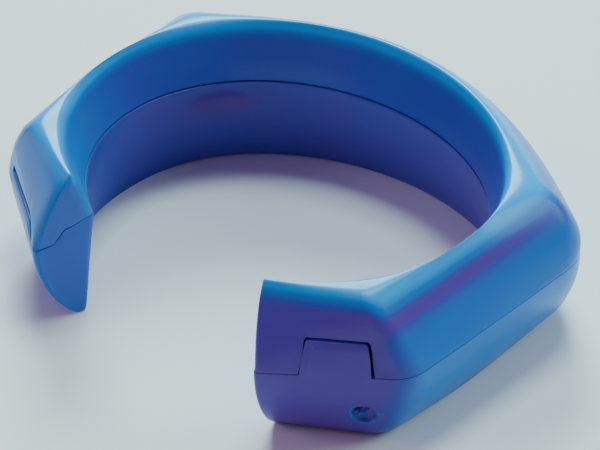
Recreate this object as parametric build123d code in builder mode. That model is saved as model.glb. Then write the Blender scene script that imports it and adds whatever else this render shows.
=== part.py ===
"""C-shaped cheek retractor ring: two half-rings that meet at a stepped seam.

The ring lies flat, +Z up, its open side facing -Y.  Its section is a leaf: a thin
crest at the top and bottom, a ridge on the outside at the seam and a crease on the
inside.  The springy bend of the back is one vertical hinge at the middle of the back.
"""
from build123d import *

import os

# heights; the outline swells most at the seam, with one more outline in the lower wall and one in the upper
height = 19.0
lower_height = 4.5
seam_height = 10.2
crease_height = 12.1
upper_height = 15.0
margin = 4.0

# opening: an ellipse, half length along X and along Y
rim_half = (26.8, 21.5)
crease_half = (24.4, 19.1)
foot_half = (26.7, 21.4)

# outer outline at each height, right-hand half, measured from the opening's centre: nose beside
# the gap, front corner, middle of the side, back corner, shoulder, middle of the back
outlines = {
    0.0: [(14.8, -19.4), (26.1, -14.0), (27.3, -1.0), (26.2, 15.2), (14.8, 20.2), (0.0, 22.8)],
    lower_height: [(16.0, -22.2), (28.8, -13.8), (29.6, 0.0), (29.2, 15.2), (16.4, 22.6), (0.0, 25.6)],
    seam_height: [(16.4, -23.2), (30.7, -13.4), (31.2, 0.5), (31.2, 14.3), (16.5, 23.6), (0.0, 27.0)],
    upper_height: [(15.7, -21.3), (28.4, -13.9), (29.3, -1.0), (30.0, 13.9), (16.2, 22.3), (0.0, 25.2)],
    height: [(14.4, -18.7), (25.4, -14.0), (27.3, -2.0), (26.0, 12.7), (14.2, 19.5), (0.0, 22.5)],
}
corner_radius = 1.6

# gap between the two arms: its half width where it meets the opening, how much it widens
# towards the front per millimetre, and where it starts and ends along Y
gap_half = {-margin: 13.4, seam_height: 14.3, height + margin: 13.2}
gap_flare = 0.26
gap_back_y = -15.2
gap_front_y = -40.0
gap_inside_y = -6.0

# step of the seam inside the wall: half length along X and along Y, at its foot and crown
step_foot_half = (30.0, 25.0)
step_crown_half = (27.4, 22.1)

# tongues of the lower half on the nose facets: height, and corners as shares of the facet's width
right_tongue = (14.0, (0.34, 0.86), (0.40, 0.89))
left_tongue = (11.8, (0.12, 0.88), (0.26, 0.93))
tongue_front = 2.0
tongue_depth = 9.0

# moulding gate on the right-hand nose facet of the lower half: a dimple with a torn stub
gate_share = 0.70
gate_height = 4.6
gate_radius = 1.45
gate_depth = 0.6
stub_radius = 0.7
stub_root = 0.1
stub_length = 0.5

# hinge that stands for the bend of the back
hinge_y = 23.05
knuckle_radius = 4.25
knuckle_clearance = 0.3

# the origin is under the middle of the ring's box
centre_y = (outlines[seam_height][0][1] + outlines[seam_height][-1][1]) / 2
far = 60.0
near = 0.01


def place(point):
    """Move a point measured from the opening's centre into the part's frame."""
    return (point[0], point[1] - centre_y)


def outline(z):
    """Closed outline at one height: straight flanks, rounded corners, an arc across the back."""
    right = [place(point) for point in outlines[z]]
    left = [(-x, y) for x, y in right]
    corners = [Vector(*point, z) for point in (right[1], right[3], left[1], left[3])]
    with BuildSketch(Plane.XY.offset(z)) as section:
        with BuildLine():
            Polyline(*left[4::-1], *right[:5])
            ThreePointArc(right[4], right[5], left[4])
        make_face()
        found = section.vertices()
        rounded = [v for v in found if any((Vector(v) - c).length < near for c in corners)]
        fillet(rounded, corner_radius)
    return section.sketch


def ellipse(half, z):
    """Ellipse about the opening's centre at one height."""
    with BuildSketch(Plane.XY.offset(z)) as section:
        with Locations(place((0, 0))):
            Ellipse(*half)
    return section.sketch


def gap_section(z):
    """Section of the gap at one height: it narrows towards the opening."""
    front_half = gap_half[z] + gap_flare * (gap_back_y - gap_front_y)
    inside_half = gap_half[z] + gap_flare * (gap_back_y - gap_inside_y)
    front, inside = gap_front_y - centre_y, gap_inside_y - centre_y
    with BuildSketch(Plane.XY.offset(z)) as section:
        with BuildLine():
            Polyline(
                (front_half, front),
                (inside_half, inside),
                (-inside_half, inside),
                (-front_half, front),
                close=True,
            )
        make_face()
    return section.sketch


def stack(section, heights):
    """Loft one section function straight from each height to the next."""
    for low, high in zip(heights, heights[1:]):
        loft([section(low), section(high)], ruled=True)


def grown(half, growth):
    """Ellipse sizes carried past the top or the foot along the same slope."""
    return (half[0] + growth, half[1] + growth)


# the inner wall's slopes carry the opening's cutter past both faces
rim_growth = margin * (rim_half[0] - crease_half[0]) / (height - crease_height)
foot_growth = margin * (foot_half[0] - crease_half[0]) / crease_height

with BuildPart() as opening:
    below_foot = ellipse(grown(foot_half, foot_growth), -margin)
    at_crease = ellipse(crease_half, crease_height)
    above_rim = ellipse(grown(rim_half, rim_growth), height + margin)
    loft([below_foot, at_crease], ruled=True)
    loft([at_crease, above_rim], ruled=True)

with BuildPart() as gap:
    stack(gap_section, list(gap_half))

with BuildPart() as ring:
    stack(outline, list(outlines))
    add(opening.part, mode=Mode.SUBTRACT)
    add(gap.part, mode=Mode.SUBTRACT)

# nose facet: from the gap's edge to the front corner, along the seam
nose = Vector(*place(outlines[seam_height][0]), seam_height)
corner = Vector(*place(outlines[seam_height][1]), seam_height)
facet_width = (corner - nose).length
facet_along = (corner - nose).normalized()
facet_out = Vector(facet_along.Y, -facet_along.X, 0)
tongue_plane = Plane(origin=nose + facet_out * tongue_front, x_dir=facet_along, z_dir=facet_out)


def tongue(top, foot, crown):
    """Tongue on the right-hand nose facet, from the seam up to the height of its crown."""
    rise = top - seam_height
    with BuildPart() as block:
        with BuildSketch(tongue_plane):
            with BuildLine():
                Polyline(
                    (foot[0] * facet_width, 0),
                    (crown[0] * facet_width, rise),
                    (crown[1] * facet_width, rise),
                    (foot[1] * facet_width, 0),
                    close=True,
                )
            make_face()
        extrude(amount=-tongue_depth)
    return block.part


# everything below the stepped seam
with BuildPart() as below_seam:
    with BuildSketch():
        Rectangle(2 * far, 2 * far)
    extrude(amount=seam_height)
    loft([ellipse(step_foot_half, seam_height), ellipse(step_crown_half, crease_height)], ruled=True)
    add(tongue(*right_tongue))
    add(mirror(tongue(*left_tongue), about=Plane.YZ, mode=Mode.PRIVATE))

# everything on the right of the hinge, with its knuckle, and the same with the clearance
hinge_place = place((0, hinge_y))


def right_side(knuckle):
    """Right-hand side of the part with a round knuckle about the hinge's axis."""
    with BuildPart() as side:
        with BuildSketch(Plane.XY.offset(-margin)):
            Rectangle(far, 2 * far, align=(Align.MIN, Align.CENTER))
            with Locations(hinge_place):
                Circle(knuckle)
        extrude(amount=height + 2 * margin)
    return side.part


right_cutter = right_side(knuckle_radius)
left_cutter = right_side(knuckle_radius + knuckle_clearance)

# gate on the right-hand nose facet, square to the facet below the seam
low_nose, low_corner = [Vector(*place(point), lower_height) for point in outlines[lower_height][:2]]
seam_point = nose + (corner - nose) * gate_share
low_point = low_nose + (low_corner - low_nose) * gate_share
gate_rise = (gate_height - lower_height) / (seam_height - lower_height)
gate_point = low_point + (seam_point - low_point) * gate_rise
gate_normal = facet_along.cross(seam_point - low_point).normalized()
gate_plane = Plane(origin=gate_point, x_dir=facet_along, z_dir=gate_normal)

with BuildPart() as left_arm_lower:
    add(ring.part)
    add(below_seam.part, mode=Mode.INTERSECT)
    add(left_cutter, mode=Mode.SUBTRACT)
left_arm_lower.part.label = "left_arm_lower"

with BuildPart() as left_arm_upper:
    add(ring.part)
    add(below_seam.part, mode=Mode.SUBTRACT)
    add(left_cutter, mode=Mode.SUBTRACT)
left_arm_upper.part.label = "left_arm_upper"

with BuildPart() as right_arm_lower:
    add(ring.part)
    add(below_seam.part, mode=Mode.INTERSECT)
    add(right_cutter, mode=Mode.INTERSECT)
    with BuildSketch(gate_plane.offset(-gate_depth)):
        Circle(gate_radius)
    extrude(amount=2 * gate_depth, mode=Mode.SUBTRACT)
    with BuildSketch(gate_plane.offset(-gate_depth - stub_root)):
        Circle(stub_radius)
    extrude(amount=stub_length)
right_arm_lower.part.label = "right_arm_lower"

with BuildPart() as right_arm_upper:
    add(ring.part)
    add(below_seam.part, mode=Mode.SUBTRACT)
    add(right_cutter, mode=Mode.INTERSECT)
right_arm_upper.part.label = "right_arm_upper"

os.makedirs("parts", exist_ok=True)
for piece in (left_arm_lower, left_arm_upper, right_arm_lower, right_arm_upper):
    export_step(piece.part, f"parts/{piece.part.label}.step")
    box = piece.part.bounding_box()
    print(piece.part.label, box.min, box.max, round(piece.part.volume, 1))
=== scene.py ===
"""Glossy blue moulded cheek retractor ring: two continuous half-ring skins that meet at a stepped seam."""

import math

import bmesh
import bpy
import numpy as np
from mathutils import Matrix, Vector


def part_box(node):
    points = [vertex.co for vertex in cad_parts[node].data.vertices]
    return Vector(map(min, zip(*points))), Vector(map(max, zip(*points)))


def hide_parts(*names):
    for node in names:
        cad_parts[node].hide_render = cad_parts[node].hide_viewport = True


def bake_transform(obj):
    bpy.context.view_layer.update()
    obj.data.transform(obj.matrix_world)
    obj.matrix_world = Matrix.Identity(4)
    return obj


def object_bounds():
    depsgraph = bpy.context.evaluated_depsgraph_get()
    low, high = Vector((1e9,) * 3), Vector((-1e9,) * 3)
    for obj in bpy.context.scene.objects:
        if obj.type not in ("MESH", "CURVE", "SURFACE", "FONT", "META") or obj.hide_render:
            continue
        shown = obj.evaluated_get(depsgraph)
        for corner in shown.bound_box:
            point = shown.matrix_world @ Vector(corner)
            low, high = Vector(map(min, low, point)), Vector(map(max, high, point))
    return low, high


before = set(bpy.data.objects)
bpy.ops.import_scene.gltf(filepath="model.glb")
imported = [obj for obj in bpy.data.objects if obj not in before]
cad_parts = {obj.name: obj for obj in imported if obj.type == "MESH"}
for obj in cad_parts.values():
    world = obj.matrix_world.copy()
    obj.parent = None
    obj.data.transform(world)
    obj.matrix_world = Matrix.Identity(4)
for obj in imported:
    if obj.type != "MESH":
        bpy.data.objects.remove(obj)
cad_low, cad_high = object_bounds()

MM = 0.001
SHIFT_Y = 1.9          # the opening's centre lies this far in front of the box's middle, mm

# heights, mm; the first three are read from the frame
HEIGHT = cad_high.z / MM
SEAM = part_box("left_arm_upper")[0].z / MM
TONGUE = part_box("right_arm_lower")[1].z / MM
LOWER = 4.5
CREASE = 12.1
UPPER = 15.0

# outer outline at each height, right-hand half: nose, front corner, mid side, back corner, shoulder, mid back
OUTLINES = {
    0.0: [(14.8, -19.4), (26.1, -14.0), (27.3, -1.0), (26.2, 15.2), (14.8, 20.2), (0.0, 22.8)],
    LOWER: [(16.0, -22.2), (28.8, -13.8), (29.6, 0.0), (29.2, 15.2), (16.4, 22.6), (0.0, 25.6)],
    SEAM: [(16.4, -23.2), (30.7, -13.4), (31.15, 0.5), (31.15, 14.3), (16.5, 23.6), (0.0, 27.0)],
    UPPER: [(15.7, -21.3), (28.4, -13.9), (28.7, -1.0), (30.0, 13.9), (16.2, 22.3), (0.0, 25.2)],
    HEIGHT: [(14.4, -18.7), (25.4, -14.0), (27.3, -2.0), (26.0, 12.7), (14.2, 19.5), (0.0, 22.5)],
}
LEVELS = sorted(OUTLINES)

# how far the rounding of the front corner and the back corner reaches along each flank
CORNER_LEGS = {0.0: (1.6, 2.4), LOWER: (2.2, 3.4), SEAM: (2.2, 3.4), UPPER: (1.5, 1.9), HEIGHT: (0.9, 1.0)}
BACK_SWEEP = 0.37        # pull of the curve across the back, as a share of its chord

# inner wall ellipses, half length along X and Y, at the foot, the crease and the rim
FOOT_HALF = (26.7, 21.4)
CREASE_HALF = (24.4, 19.1)
RIM_HALF = (26.8, 21.5)

# gap faces: where the inner wall ends at the foot, the crease and the rim, and the rounding of their edge
END_X = (14.7, 14.3, 14.3)
END_ROUND_TOP = 0.45
END_ROUND_SEAM = 0.9

# tongue and notch on the nose facets: feet and crowns are shares of the facet's width, the rest is in mm
TONGUE_FOOT = (0.34, 0.86)
TONGUE_CROWN = (0.40, 0.905)
LEFT_TOP = 11.8          # the left-hand tongue is lower and longer
LEFT_FOOT = (0.12, 0.88)
LEFT_CROWN = (0.26, 0.93)
TONGUE_ROUND = 0.45
TONGUE_PROUD = 0.10
PROUD_EDGE = 0.6         # the tongue rises to its full relief over this far from its edge
PROUD_FADE = 1.5
CROWN_SHIFT = 0.02       # where the crown's corners come out along the leaning facet
CROWN_SCALE = 0.885
NOTCH_LEFT_GAP = 0.10
NOTCH_RIGHT_GAP = 0.38
NOTCH_TOP_GAP = 0.25
NOTCH_DENT = 0.16
NOTCH_REACH = 1.3
NOTCH_FADE = 1.2

# painted highlight streak on the left-hand nose, a pale diagonal band of colour only, from just above the
# seam up to its end at the front corner
HIGHLIGHT_RISE = 0.5
HIGHLIGHT_TOP = 14.6
HIGHLIGHT_WIDTH = 0.42
HIGHLIGHT_TONE = 0.9
HIGHLIGHT_START = 1.0
HIGHLIGHT_FADE = 1.5

# moulding gate on the right-hand nose: share of the facet's width, height, then sizes in mm
GATE_SHARE = 0.68
GATE_Z = 4.6
GATE_RADIUS = 1.45
GATE_DEPTH = 0.42
GATE_FLOOR = 0.95        # radius of the dimple's flat floor
GATE_SLOPE = 0.5
GATE_RIM = 0.10
GATE_RIM_WIDTH = 0.18
GATE_RAGGED = 0.35
# bumps at the gate: height, place along the facet and up it, size; the pale spots have no height
GATE_TORN = ((0.55, -0.15, 0.15, 0.34), (0.35, -0.55, -0.35, 0.25))
GATE_PITS = ((-0.95, -0.75, 0.45, 0.26), (-0.8, -0.45, 0.85, 0.2), (-0.6, 0.35, 0.75, 0.22))
GATE_NUBS = ((0.3, 1.75, 0.35, 0.22), (0.14, 1.15, -0.2, 0.2))
GATE_PALE = ((-0.15, 0.1, 0.32), (-0.55, -0.4, 0.25), (1.75, 0.35, 0.22))
GATE_PALE_TONE = 0.6
# painted highlight: paler colour on the lower side of the gate's rim
GATE_RIM_PAINTED_HIGHLIGHT = 0.5

# sink mark on the inside of the left-hand lower wall, in right-hand terms: place, size, depth
SINK_PLACE = np.array([20.7, 11.0, 9.2])
SINK_SIZE = np.array([3.0, 3.0, 1.3])
SINK_DEPTH = 0.7
# painted shade: darker colour in the sink mark's hollow
SINK_PAINTED_SHADE = 0.3

# crests and seams, mm; pairs are for the nose facets and for the sides and back
INNER_LEG = 1.1
NOSE_LEG = 1.8
SIDE_LEG = 2.2
LAND_START = (0.42, 0.70)  # the flat land starts at this share of the crest's width
LAND_INSET = 0.2
ZONE_ABOVE = 0.9         # rows are closer together up to here above the tongue
ZONE_BELOW = 0.5
SEAM_BEVEL = 0.13
# the parting surface inside the wall, from the outside (0) to the inside (1)
PARTING_DEPTHS = (0.0, 0.24, 0.30, 0.50, 0.57, 0.72, 1.0)
PARTING_HEIGHTS = (SEAM, SEAM, SEAM + 0.12, 11.45, 11.6, 11.65, CREASE)
PARTING_LIFT = 0.05
TONGUE_DEPTH = 0.5       # share of the wall that the tongue's root reaches, and how softly it ends
TONGUE_FALL = 0.12
CREASE_BEVEL = 0.28
CREASE_GAP = 0.09
CREASE_GAP_START = 0.25
CREASE_GAP_RISE = 0.1
CREASE_STEP = 0.14
CREASE_STEP_REACH = 2.5

# direction in plan from the right-hand gap face into the ring
END_WAY = np.array([0.967, 0.254, 0.0])

# painted light and shade in the base colour: 0 is the darkest, most violet painted shade and 1 the lightest,
# most cyan painted light, set part by part by how light falls on them
NOSE_PAINTED_SHADING = {True: 0.02, False: 0.52}    # right-hand and left-hand nose
SIDE_PAINTED_SHADING = {True: 0.50, False: 0.62}    # upper and lower half-ring
STREAK_PAINTED_SHADE = {True: 0.52, False: 0.10}  # right-hand and left-hand side
STREAK_Z = (15.9, 16.7)
STREAK_WIDTH = 1.2
INNER_PAINTED_SHADE = 0.20
INNER_END_PAINTED_LIGHT = 0.62    # inner wall beside the gap
INNER_END_TURN = (0.45, 0.4)
INNER_LOWER_PAINTED_SHADE = 0.5        # the lower inner wall's tone as a share of the upper one's
CREST_PAINTED_LIGHT = 1.0
CREST_NOSE_PAINTED_LIGHT = 0.8
CREST_FADE = (1.9, 2.6)  # how far the crest's tone runs down the outer wall, mm
CREST_FADE_IN = 2.0
CAP_PAINTED_SHADING = 0.30

# points along the ring, from one end's gap face to the other's, and round its section
NOSE_STEPS = 62
SIDE_STEPS = 40
BACK_STEPS = 56
CORNER_STEPS = 12
SEAM_ROWS = 22
WALL_ROWS = 44
INNER_ROWS = 26
ROUND_ROWS = 8
LAND_ROWS = 3
PARTING_ROWS = 41
BESIDE_STEPS = 22
BEYOND_STEPS = 16
LIP_ROWS = 2
CREST_FIRST = LIP_ROWS + SEAM_ROWS + WALL_ROWS
CREST_ROWS = 2 * ROUND_ROWS + LAND_ROWS
CREST_LAST = CREST_FIRST + CREST_ROWS + INNER_ROWS
HAIR = 0.003             # width share over which the seam jumps up a flank of the tongue
ROUND_SHARES = np.array([0, 0.05, 0.15, 0.3, 0.5, 0.75, 1.0])
END_SHARES = np.array([0, 0.01, 0.04, 0.09, 0.16, 0.25, 0.36, 0.5, 0.66, 0.83])
OFF_NOSE = 99.0          # distance from the gap face given to stations that aren't on the nose
PAST_NOSE_LEAD = 2
PAST_NOSE_STEPS = 16.0
FLAT_REACH = 4.0         # the gap face's flattening fades out over this far along the nose, mm
CAP_STEPS = (0.25, 0.5, 0.75)
CAP_CENTRE_Z = {True: 13.4, False: 7.6}
SHARP_ANGLE = math.radians(38)


def mix(a, b, t):
    return a + (b - a) * t


def smooth(t):
    t = np.clip(t, 0, 1)
    return t * t * (3 - 2 * t)


def unit(v):
    return v / np.linalg.norm(v, axis=-1, keepdims=True)


def quadratic(a, b, c, count, last=False):
    """Points of a quadratic curve from a to c with control point b."""
    t = np.linspace(0, 1, count, endpoint=last)[:, None]
    return a * (1 - t) ** 2 + 2 * b * t * (1 - t) + c * t ** 2


def cubic(a, b, c, d, count, last=False):
    """Points of a cubic curve from a to d with control points b and c."""
    t = np.linspace(0, 1, count, endpoint=last)[:, None]
    s = 1 - t
    return a * s ** 3 + 3 * b * s ** 2 * t + 3 * c * s * t ** 2 + d * t ** 3


def half_path(level, shares):
    """Outer outline of the right-hand half at one height: nose, corner, side, corner, back."""
    nose, front, side, back, shoulder, middle = [np.array(p, float) for p in OUTLINES[level]]
    front_leg, back_leg = CORNER_LEGS[level]
    front_in = front + unit(nose - front) * front_leg
    front_out = front + unit(side - front) * front_leg
    back_in = back + unit(side - back) * back_leg
    back_out = back + unit(shoulder - back) * back_leg
    reach = np.linalg.norm(back_in - front_out) / 3
    sweep = BACK_SWEEP * np.linalg.norm(middle - back_out)
    return np.vstack([
        nose + (front_in - nose) * shares[:, None],
        quadratic(front_in, front, front_out, CORNER_STEPS),
        cubic(front_out, front_out + unit(side - front) * reach,
              back_in - unit(back - side) * reach, back_in, SIDE_STEPS),
        quadratic(back_in, back, back_out, CORNER_STEPS),
        cubic(back_out, back_out + unit(shoulder - back) * sweep,
              middle + np.array([sweep, 0.0]), middle, BACK_STEPS, last=True),
    ])


def outer_points(paths, z):
    """Outer plan points at height z, one height for each station, on smooth curves through the outlines."""
    high = z >= SEAM
    found = np.zeros((len(z), 2))
    for picked, trio in ((high, LEVELS[2:]), (~high, LEVELS[:3])):
        for level in trio:
            share = np.ones(len(z))
            for other in trio:
                if other != level:
                    share *= (z - other) / (level - other)
            found[picked] += (share[:, None] * paths[level])[picked]
    return found


class Stations:
    """Everything that is known along the right-hand half of the ring for one half-ring."""

    def __init__(self, upper, right_hand):
        self.upper = upper
        self.right_hand = right_hand
        self.top = TONGUE if right_hand else LEFT_TOP
        self.foot = TONGUE_FOOT if right_hand else LEFT_FOOT
        self.head = TONGUE_CROWN if right_hand else LEFT_CROWN
        left_gap = NOTCH_LEFT_GAP if upper else 0.0
        right_gap = NOTCH_RIGHT_GAP if upper else 0.0
        top_gap = NOTCH_TOP_GAP if right_hand else 2 * NOTCH_TOP_GAP
        self.crown = self.top + (top_gap if upper else 0.0)
        width = np.linalg.norm(np.subtract(OUTLINES[SEAM][1], OUTLINES[SEAM][0]))
        left = self.foot[0] - left_gap / width
        right = self.foot[1] + right_gap / width
        rounding = TONGUE_ROUND / width * ROUND_SHARES
        ending = END_ROUND_SEAM / width * END_SHARES
        foot = np.concatenate([
            ending,
            np.linspace(END_ROUND_SEAM / width, left, BESIDE_STEPS),
            left + HAIR + rounding,
            np.linspace(left + HAIR + rounding[-1], right - HAIR - rounding[-1], NOSE_STEPS)[1:-1],
            (right - HAIR - rounding)[::-1],
            np.linspace(right, 1, BEYOND_STEPS, endpoint=False),
        ])
        inside = (foot > left + HAIR / 2) & (foot < right - HAIR / 2)
        edge = np.minimum(foot - left - HAIR, right - HAIR - foot) * width
        lack = np.clip(TONGUE_ROUND - edge, 0, TONGUE_ROUND)
        dip = TONGUE_ROUND - np.sqrt(np.clip(TONGUE_ROUND ** 2 - lack ** 2, 0, None))
        nose_seam = np.where(inside, self.crown - dip, SEAM)
        # at the tongue's top the wall's curve still carries this much of the seam's outline
        kept = (self.top - UPPER) * (self.top - HEIGHT) / ((SEAM - UPPER) * (SEAM - HEIGHT))
        lean = 1.0 / (1.0 - kept)
        crown = np.interp(foot, [0, left, right, 1],
                          [0, self.head[0] - left_gap / width, self.head[1] + right_gap / width, 1])
        high = foot + (crown - foot) * lean
        self.paths = {level: half_path(level, high if level > SEAM else foot) for level in LEVELS}
        self.count = len(self.paths[SEAM])
        self.seam = np.full(self.count, SEAM)
        self.seam[:len(foot)] = nose_seam
        self.on_tongue = np.zeros(self.count)
        self.on_tongue[:len(foot)] = inside
        self.from_end = np.full(self.count, OFF_NOSE)
        self.from_end[:len(foot)] = foot * width
        self.width = width
        self.nose = np.array(OUTLINES[SEAM][0])
        self.along = unit(np.subtract(OUTLINES[SEAM][1], OUTLINES[SEAM][0]))
        tangent = unit(np.gradient(self.paths[SEAM], axis=0))
        self.normal = np.stack([tangent[:, 1], -tangent[:, 0]], axis=1)
        round_angle = np.arctan2(self.paths[SEAM][:, 1] / RIM_HALF[1], self.paths[SEAM][:, 0] / RIM_HALF[0])
        self.turn = (round_angle - round_angle[0]) / (math.pi / 2 - round_angle[0])
        self.is_nose = np.arange(self.count) < len(foot) + CORNER_STEPS

    def inner(self, z):
        """Inner plan points at height z, one height for each station."""
        t = np.where(z >= CREASE, (z - CREASE) / (HEIGHT - CREASE), z / CREASE)[:, None]
        high = (z >= CREASE)[:, None]
        foot, crease, rim = np.array(FOOT_HALF), np.array(CREASE_HALF), np.array(RIM_HALF)
        half = np.where(high, mix(crease, rim, t), mix(foot, crease, t))
        end_x = np.where(z >= CREASE, mix(END_X[1], END_X[2], t[:, 0]), mix(END_X[0], END_X[1], t[:, 0]))
        start = -np.arccos(end_x / half[:, 0])
        angle = start + self.turn * (math.pi / 2 - start)
        return half * np.stack([np.cos(angle), np.sin(angle)], axis=1)

    def relief(self, points, z):
        """How far the outer wall stands proud, in mm, near the tongue and at the gate."""
        a = (points - self.nose) @ self.along
        rise = z - SEAM
        crown_left, crown_right = [(CROWN_SHIFT + CROWN_SCALE * share) * self.width for share in self.head]
        foot_left, foot_right = [share * self.width for share in self.foot]
        span = self.top - SEAM
        left = a - mix(foot_left, crown_left, rise / span)
        right = mix(foot_right, crown_right, rise / span) - a
        inside = np.minimum(np.minimum(left, right), self.top - z)
        if self.upper:
            out = np.clip(-inside, 0, None)
            move = -NOTCH_DENT * np.exp(-(out / NOTCH_REACH) ** 2) * smooth((rise + 0.2) / NOTCH_FADE)
        else:
            move = TONGUE_PROUD * smooth(inside / PROUD_EDGE) * smooth((rise + PROUD_EDGE) / PROUD_FADE)
        if self.right_hand and not self.upper:
            move = move + gate_relief(a - GATE_SHARE * self.width, z - GATE_Z)
        return np.where(self.is_nose, move, 0.0)


def sink(points, z):
    """Depth of the sink mark at plan points and heights, as a share of its full depth."""
    off = (points - SINK_PLACE[:2]) / SINK_SIZE[:2]
    return np.exp(-np.sum(off ** 2, axis=-1) - ((z - SINK_PLACE[2]) / SINK_SIZE[2]) ** 2)


def bump(a, z, at_a, at_z, size):
    """Round bump of height one and the given size."""
    return np.exp(-((a - at_a) ** 2 + (z - at_z) ** 2) / size ** 2)


def bumps(a, z, table):
    """Sum of the round bumps in a table of heights, places and sizes."""
    return sum(height * bump(a, z, at_a, at_z, size) for height, at_a, at_z, size in table)


def gate_relief(a, z):
    """Dimple of the moulding gate with the torn stub in it, in mm."""
    r = np.hypot(a, z)
    dish = -GATE_DEPTH * (1 - smooth((r - GATE_FLOOR) / GATE_SLOPE))
    rim = GATE_RIM * np.exp(-((r - GATE_RADIUS) / GATE_RIM_WIDTH) ** 2)
    ragged = 1 + GATE_RAGGED * np.sin(9 * a + 4 * z) * np.sin(7 * z - 5 * a)
    return dish + rim + bumps(a, z, GATE_TORN) * ragged + bumps(a, z, GATE_PITS + GATE_NUBS)


def with_height(points, z):
    """Plan points with their heights."""
    return np.column_stack([points, z])


def section_rows(st):
    """Rows of points from the outer seam over the crest to the inner seam, and the parting rows back."""
    upper = st.upper
    way = 1.0 if upper else -1.0
    end_z = HEIGHT if upper else 0.0
    ones = np.ones(st.count)

    def outer(z):
        points = outer_points(st.paths, z)
        return with_height(points + st.normal * st.relief(points, z)[:, None], z)

    def inner(z):
        points = st.inner(z)
        if not st.right_hand and not upper:
            points = points + unit(points) * (SINK_DEPTH * sink(points, z))[:, None]
        return with_height(points, z)

    root = outer(st.seam)
    root[:, :2] -= st.normal * SEAM_BEVEL
    lip = outer(st.seam + way * SEAM_BEVEL * 0.3)
    lip[:, :2] -= st.normal * SEAM_BEVEL * 0.3
    rows = [root, lip]
    crest_out, crest_in = outer(end_z * ones), inner(end_z * ones)
    across = crest_in - crest_out
    width = np.linalg.norm(across, axis=1, keepdims=True)
    across = across / width
    past_nose = nose_end(st)
    land_out = crest_out + across * width * mix(*LAND_START, past_nose)[:, None]
    land_in = crest_in - across * width * LAND_INSET
    first = st.seam + way * SEAM_BEVEL
    wall_end = end_z - way * mix(NOSE_LEG, SIDE_LEG, past_nose)
    split = (st.top + ZONE_ABOVE if upper else SEAM - ZONE_BELOW) * ones
    for t in np.linspace(0, 1, SEAM_ROWS, endpoint=False):
        rows.append(outer(mix(first, split, t)))
    for t in np.linspace(0, 1, WALL_ROWS, endpoint=False):
        rows.append(outer(mix(split, wall_end, t)))
    for t in np.linspace(0, 1, ROUND_ROWS, endpoint=False):
        rows.append(outer(wall_end) * (1 - t) ** 2 + 2 * crest_out * t * (1 - t) + land_out * t ** 2)
    for t in np.linspace(0, 1, LAND_ROWS, endpoint=False):
        rows.append(mix(land_out, land_in, t))
    inner_start = (end_z - way * INNER_LEG) * ones
    for t in np.linspace(0, 1, ROUND_ROWS, endpoint=False):
        rows.append(land_in * (1 - t) ** 2 + 2 * crest_in * t * (1 - t) + inner(inner_start) * t ** 2)
    crease_z = CREASE + (CREASE_GAP if upper else 0.0)
    bevel = SEAM_BEVEL if upper else CREASE_BEVEL
    for t in np.linspace(0, 1, INNER_ROWS):
        rows.append(inner(mix(inner_start, (crease_z + way * bevel) * ones, t)))
    inward = -unit(rows[-1][:, :2])
    if upper:
        for row in rows[-INNER_ROWS:]:
            near_crease = smooth((CREASE + CREASE_STEP_REACH - row[:, 2]) / CREASE_STEP_REACH)
            row[:, :2] -= inward * (CREASE_STEP * near_crease)[:, None]
    wall_foot = rows[-1]
    for drop, back in ((0.3, 0.3), (0.0, 1.0)):
        row = wall_foot.copy()
        row[:, 2] = crease_z + way * bevel * drop
        row[:, :2] -= inward * bevel * back
        rows.append(row)
    arc = round_end(st, flatten_end(st, np.stack(rows, axis=1)))
    parting = []
    for f in np.linspace(1, 0, PARTING_ROWS + 2)[1:-1]:
        points = mix(arc[:, 0, :], arc[:, -1, :], f)
        plain = np.interp(f, PARTING_DEPTHS, PARTING_HEIGHTS)
        step = 1 - smooth((f - TONGUE_DEPTH) / TONGUE_FALL)
        points[:, 2] = np.where(st.on_tongue > 0, plain + (st.seam - plain) * step, plain)
        if upper:
            points[:, 2] += PARTING_LIFT + CREASE_GAP * smooth((f - CREASE_GAP_START) / CREASE_GAP_RISE)
        parting.append(points)
    loop = np.concatenate([arc, np.stack(parting, axis=1)], axis=1)
    return loop, painted_shading_tones(st, loop)


def nose_end(st):
    """Zero on the nose facet and one along the side and back, station by station."""
    return smooth((np.arange(st.count) - np.sum(st.from_end < OFF_NOSE) + PAST_NOSE_LEAD) / PAST_NOSE_STEPS)


def flatten_end(st, arc):
    """Bring the end of the ring onto one flat gap face, fading out along the nose."""
    centre = arc[0].mean(axis=0)
    normal = np.linalg.svd(arc[0] - centre)[2][2]
    shift = (arc[0] - centre) @ normal / (END_WAY @ normal)
    fade = 1 - smooth(st.from_end / FLAT_REACH)
    return arc - fade[:, None, None] * shift[None, :, None] * END_WAY


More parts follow.
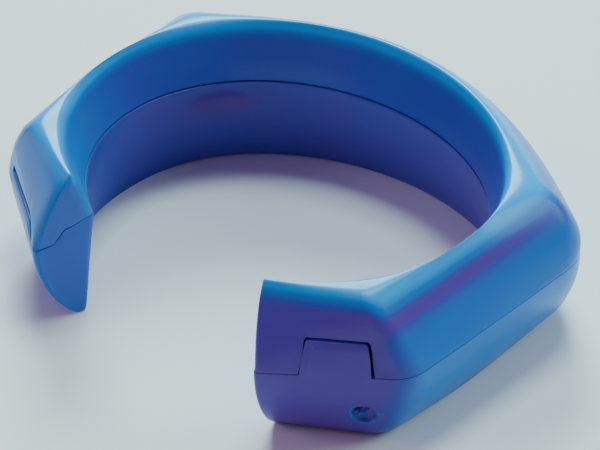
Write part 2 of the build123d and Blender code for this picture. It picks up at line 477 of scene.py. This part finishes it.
def painted_shading_tones(st, loop):
    """Painted light and shade: how light and greenish the blue is at each point, crests painted lightest as
    if lit and shaded parts painted darkest.
    """
    z = loop[:, :, 2]
    past_nose = nose_end(st)[:, None]
    # painted shade: a darker streak along the upper outer wall of the side, where a shading valley falls,
    # fading out towards the back
    streak_z = mix(*STREAK_Z, smooth(mix(-0.25, 1.5, st.turn)))[:, None]
    streak_end = (1 - smooth(st.turn * 2.4 - 0.9))[:, None]
    streak = STREAK_PAINTED_SHADE[st.right_hand] * np.exp(-((z - streak_z) / STREAK_WIDTH) ** 2) * streak_end
    # painted shading of the outer wall: the sides at a mid level less the streak, the noses painted darker,
    # the right-hand one darkest as it gets no light from the front
    side = SIDE_PAINTED_SHADING[st.upper] - streak
    wall = mix(NOSE_PAINTED_SHADING[st.right_hand], side, past_nose)
    along = (loop[:, :, :2] - st.nose) @ st.along
    # painted highlight: a pale diagonal streak of colour on the upper left-hand nose, where light glances off
    # it
    if st.upper and not st.right_hand:
        highlight_z = mix(SEAM + HIGHLIGHT_RISE, HIGHLIGHT_TOP, np.clip(along / st.width, 0, 1))
        begun = smooth((along - HIGHLIGHT_START) / HIGHLIGHT_FADE)
        wall = wall + HIGHLIGHT_TONE * np.exp(-((z - highlight_z) / HIGHLIGHT_WIDTH) ** 2) * begun * (1 - past_nose)
    # painted highlight on the lower side of the gate's rim, and paler spots on the torn stub
    if st.right_hand and not st.upper:
        a = along - GATE_SHARE * st.width
        rise = z - GATE_Z
        rim_highlight = np.exp(-((np.hypot(a, rise) - GATE_RADIUS) / 0.2) ** 2) * smooth((0.8 - a - rise) / 1.6)
        torn = sum(bump(a, rise, *place) for place in GATE_PALE)
        wall = wall + (GATE_RIM_PAINTED_HIGHLIGHT * rim_highlight + GATE_PALE_TONE * torn) * (1 - past_nose)
    # painted shade on the inner wall, painted lighter beside the gap and darker still on the lower half's
    # inner wall
    beside_gap = smooth((INNER_END_TURN[0] - st.turn) / INNER_END_TURN[1])
    inside = mix(INNER_PAINTED_SHADE, INNER_END_PAINTED_LIGHT, beside_gap)[:, None] * (1.0 if st.upper else INNER_LOWER_PAINTED_SHADE)
    # painted shade in the sink mark's hollow
    if not st.upper and not st.right_hand:
        inside = inside - SINK_PAINTED_SHADE * sink(loop[:, :, :2], z)
    row = np.arange(loop.shape[1])
    drop = HEIGHT - z if st.upper else z
    reach = mix(*CREST_FADE, past_nose)
    outer_share = np.where(row < CREST_FIRST + 4, smooth((drop - 0.1) / reach), 0.0)
    inner_share = np.where(row > CREST_FIRST + CREST_ROWS - 5, smooth((drop - 0.25) / CREST_FADE_IN), 0.0)
    # painted light: the upper half's crest is painted lightest, as if lit from above
    if st.upper:
        crest = mix(CREST_NOSE_PAINTED_LIGHT, 1.0, past_nose) * CREST_PAINTED_LIGHT
    else:
        crest = mix(wall, inside, smooth((row - CREST_FIRST) / CREST_ROWS))
    return crest + (wall - crest) * outer_share + (inside - crest) * inner_share


def round_end(st, arc):
    """Round the edge where the walls meet the gap face, more at the seam than at the crests."""
    across = arc[:, -1, :] - arc[:, 0, :]
    across[:, 2] = 0
    across = unit(across)[:, None, :]
    crest = np.arange(arc.shape[1]) - CREST_FIRST
    lean = smooth(crest / CREST_ROWS)[None, :, None] * math.pi
    down = np.array([0.0, 0.0, -1.0 if st.upper else 1.0])
    inward = across * np.cos(lean) + down * np.sin(lean)
    z = arc[:, :, 2]
    high = np.where(z > SEAM, (HEIGHT - z) / (HEIGHT - SEAM), z / SEAM)
    rho = mix(END_ROUND_TOP, END_ROUND_SEAM, smooth(high * 1.2))
    reach = np.clip(rho - st.from_end[:, None], 0, None)
    inset = rho - np.sqrt(np.clip(rho ** 2 - reach ** 2, 0, None))
    return arc + inward * inset[:, :, None]


def half_ring(name, upper):
    """One closed half-ring skin: right half, left half mirrored, end caps fanned to a centre."""
    right, right_tone = section_rows(Stations(upper, True))
    left, left_tone = section_rows(Stations(upper, False))
    grid = np.concatenate([right, left[:-1][::-1] * np.array([-1.0, 1.0, 1.0])])
    tone = np.concatenate([right_tone, left_tone[:-1][::-1]])
    columns, rows = grid.shape[:2]
    verts = grid.reshape(-1, 3)
    index = np.arange(columns * rows).reshape(columns, rows)
    turned = np.roll(index, -1, axis=1)
    faces = np.stack([index[:-1], index[1:], turned[1:], turned[:-1]], axis=-1).reshape(-1, 4).tolist()
    extra = []
    for column, flip in ((0, False), (columns - 1, True)):
        loop = grid[column]
        way = END_WAY * np.array([-1.0 if flip else 1.0, 1.0, 1.0])
        middle = loop.mean(axis=0)
        normal = np.linalg.svd(loop[:CREST_LAST] - loop[:CREST_LAST].mean(axis=0))[2][2]
        centre = np.array([middle[0], middle[1], CAP_CENTRE_Z[upper]])
        centre -= way * (((centre - loop[0]) @ normal) / (way @ normal))
        ring = index[column]
        base = columns * rows + sum(len(e) for e in extra)
        added = [mix(loop, centre, t) for t in CAP_STEPS]
        for number, row in enumerate(added):
            extra.append(row)
            new = base + number * rows + np.arange(rows)
            quads = np.stack([ring, np.roll(ring, -1), np.roll(new, -1), new], axis=-1)
            faces += (quads[:, ::-1] if flip else quads).tolist()
            ring = new
        extra.append(centre[None, :])
        tip = base + len(added) * rows
        fan = np.stack([ring, np.roll(ring, -1), np.full(rows, tip)], axis=-1)
        faces += (fan[:, ::-1] if flip else fan).tolist()
    verts = np.concatenate([verts] + extra)
    verts[:, 1] -= SHIFT_Y
    mesh = bpy.data.meshes.new(name)
    mesh.from_pydata((verts * MM).tolist(), [], faces)
    mesh.validate()
    check = bmesh.new()
    check.from_mesh(mesh)
    bmesh.ops.recalc_face_normals(check, faces=check.faces)
    if check.calc_volume(signed=True) < 0:
        bmesh.ops.reverse_faces(check, faces=check.faces)
    check.to_mesh(mesh)
    check.free()
    mesh.shade_smooth()
    mesh.set_sharp_from_angle(angle=SHARP_ANGLE)
    values = np.zeros(len(mesh.vertices), np.float32)
    values[:tone.size] = tone.reshape(-1)
    # painted shading: the gap faces get one fixed level, and the end columns are blended halfway to it
    values[tone.size:] = CAP_PAINTED_SHADING
    for column in (0, columns - 1):
        edge = slice(column * rows, (column + 1) * rows)
        values[edge] = mix(values[edge], CAP_PAINTED_SHADING, 0.5)
    mesh.attributes.new("tone", "FLOAT", "POINT").data.foreach_set("value", values)
    ring_object = bpy.data.objects.new(name, mesh)
    bpy.context.scene.collection.objects.link(ring_object)
    return ring_object


def node(tree, kind, **settings):
    made = tree.nodes.new(kind)
    for key, value in settings.items():
        setattr(made, key, value)
    return made


def blue_plastic(name):
    """Glossy blue injection-moulded polypropylene with fine grain and slight unevenness."""
    material = bpy.data.materials.new(name)
    material.use_nodes = True
    tree = material.node_tree
    shader = tree.nodes["Principled BSDF"]
    shader.inputs["IOR"].default_value = 1.49
    shader.inputs["Specular IOR Level"].default_value = 0.16
    shader.inputs["Coat Weight"].default_value = 0.18
    shader.inputs["Coat Roughness"].default_value = 0.2
    place = node(tree, "ShaderNodeTexCoord")
    cloud = node(tree, "ShaderNodeTexNoise")
    cloud.inputs["Scale"].default_value = 90.0
    cloud.inputs["Detail"].default_value = 3.0
    grain = node(tree, "ShaderNodeTexNoise")
    grain.inputs["Scale"].default_value = 4200.0
    grain.inputs["Detail"].default_value = 2.0
    swell = node(tree, "ShaderNodeTexNoise")
    swell.inputs["Scale"].default_value = 260.0
    swell.inputs["Detail"].default_value = 2.0
    for texture in (cloud, grain, swell):
        tree.links.new(place.outputs["Object"], texture.inputs["Vector"])
    # the tone attribute holds the painted light and shade; the ramp turns it into base colour, violet for
    # painted shade up to light cyan for painted light
    painted_shading = node(tree, "ShaderNodeAttribute", attribute_name="tone")
    uneven = node(tree, "ShaderNodeMath", operation="MULTIPLY_ADD")
    uneven.inputs[1].default_value = 0.22
    tree.links.new(cloud.outputs["Fac"], uneven.inputs[0])
    tree.links.new(painted_shading.outputs["Fac"], uneven.inputs[2])
    colour = node(tree, "ShaderNodeValToRGB")
    colour.color_ramp.elements[0].position = 0.1
    colour.color_ramp.elements[0].color = (0.098, 0.038, 0.310, 1)
    colour.color_ramp.elements[1].position = 1.0
    colour.color_ramp.elements[1].color = (0.000, 0.310, 0.740, 1)
    for position, shade in ((0.3, (0.040, 0.066, 0.380, 1)), (0.72, (0.003, 0.160, 0.520, 1))):
        colour.color_ramp.elements.new(position).color = shade
    tree.links.new(uneven.outputs["Value"], colour.inputs["Fac"])
    tree.links.new(colour.outputs["Color"], shader.inputs["Base Color"])
    rough = node(tree, "ShaderNodeMapRange")
    rough.inputs["To Min"].default_value = 0.27
    rough.inputs["To Max"].default_value = 0.38
    tree.links.new(swell.outputs["Fac"], rough.inputs["Value"])
    tree.links.new(rough.outputs["Result"], shader.inputs["Roughness"])
    fine = node(tree, "ShaderNodeBump")
    fine.inputs["Strength"].default_value = 0.05
    fine.inputs["Distance"].default_value = 0.0001
    tree.links.new(grain.outputs["Fac"], fine.inputs["Height"])
    broad = node(tree, "ShaderNodeBump")
    broad.inputs["Strength"].default_value = 0.06
    broad.inputs["Distance"].default_value = 0.0004
    tree.links.new(swell.outputs["Fac"], broad.inputs["Height"])
    tree.links.new(fine.outputs["Normal"], broad.inputs["Normal"])
    tree.links.new(broad.outputs["Normal"], shader.inputs["Normal"])
    return material


plastic = blue_plastic("blue_plastic")
for name, upper, nodes, slot_name in (
    ("upper_half_ring", True, ("left_arm_upper", "right_arm_upper"), "upper_plastic"),
    ("lower_half_ring", False, ("left_arm_lower", "right_arm_lower"), "lower_plastic"),
):
    half = half_ring(name, upper)
    half.data.materials.append(plastic)
    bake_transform(half)
    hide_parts(*nodes)

# floor
floor_mesh = bpy.data.meshes.new("floor")
floor_mesh.from_pydata([(-3, -3, 0), (3, -3, 0), (3, 3, 0), (-3, 3, 0)], [], [(0, 1, 2, 3)])
floor = bpy.data.objects.new("floor", floor_mesh)
bpy.context.scene.collection.objects.link(floor)
pale = bpy.data.materials.new("pale_floor")
pale.use_nodes = True
paint = pale.node_tree.nodes["Principled BSDF"]
paint.inputs["Base Color"].default_value = (0.93, 0.85, 0.86, 1)
paint.inputs["Roughness"].default_value = 0.9
paint.inputs["Specular IOR Level"].default_value = 0.1
floor_mesh.materials.append(pale)


def soft_light(name, place, size, power, colour):
    """Square area light at a place in metres, aimed at the ring."""
    data = bpy.data.lights.new(name, "AREA")
    data.size = size
    data.energy = power
    data.color = colour
    lamp = bpy.data.objects.new(name, data)
    lamp.location = place
    lamp.rotation_euler = (Vector((0, 0, 0.01)) - Vector(place)).to_track_quat("-Z", "Y").to_euler()
    bpy.context.scene.collection.objects.link(lamp)


soft_light("back_light", (-0.60, 0.60, 0.62), 0.42, 14.5, (0.62, 1.0, 0.96))
soft_light("back_right_light", (0.55, 0.62, 0.50), 0.45, 5.0, (0.62, 1.0, 0.96))
soft_light("top_light", (-0.05, 0.25, 0.85), 0.30, 5.0, (0.62, 1.0, 0.96))
soft_light("front_left_light", (-0.60, -0.62, 0.55), 0.40, 2.2, (0.75, 0.70, 1.00))

world = bpy.data.worlds.new("room")
world.use_nodes = True
world.node_tree.nodes["Background"].inputs["Color"].default_value = (0.80, 0.52, 0.86, 1)
world.node_tree.nodes["Background"].inputs["Strength"].default_value = 0.24
bpy.context.scene.world = world

# camera: a long lens, from the front right and above
view_way = Vector((-0.5686, 0.5545, -0.6077))
view_right = Vector((0.7291, 0.6818, -0.0600))
view_up = Vector((-0.3810, 0.4772, 0.7919))
eye = Vector((0.3404, -0.3321, 0.3709))
lens = bpy.data.cameras.new("camera")
lens.lens = 324.3
lens.sensor_width = 36.0
lens.sensor_fit = "HORIZONTAL"
lens.clip_end = 20
camera = bpy.data.objects.new("camera", lens)
turn = Matrix((view_right, view_up, -view_way)).transposed()
camera.matrix_world = Matrix.Translation(eye) @ turn.to_4x4()
bpy.context.scene.collection.objects.link(camera)
bpy.context.scene.camera = camera

bpy.context.view_layer.update()
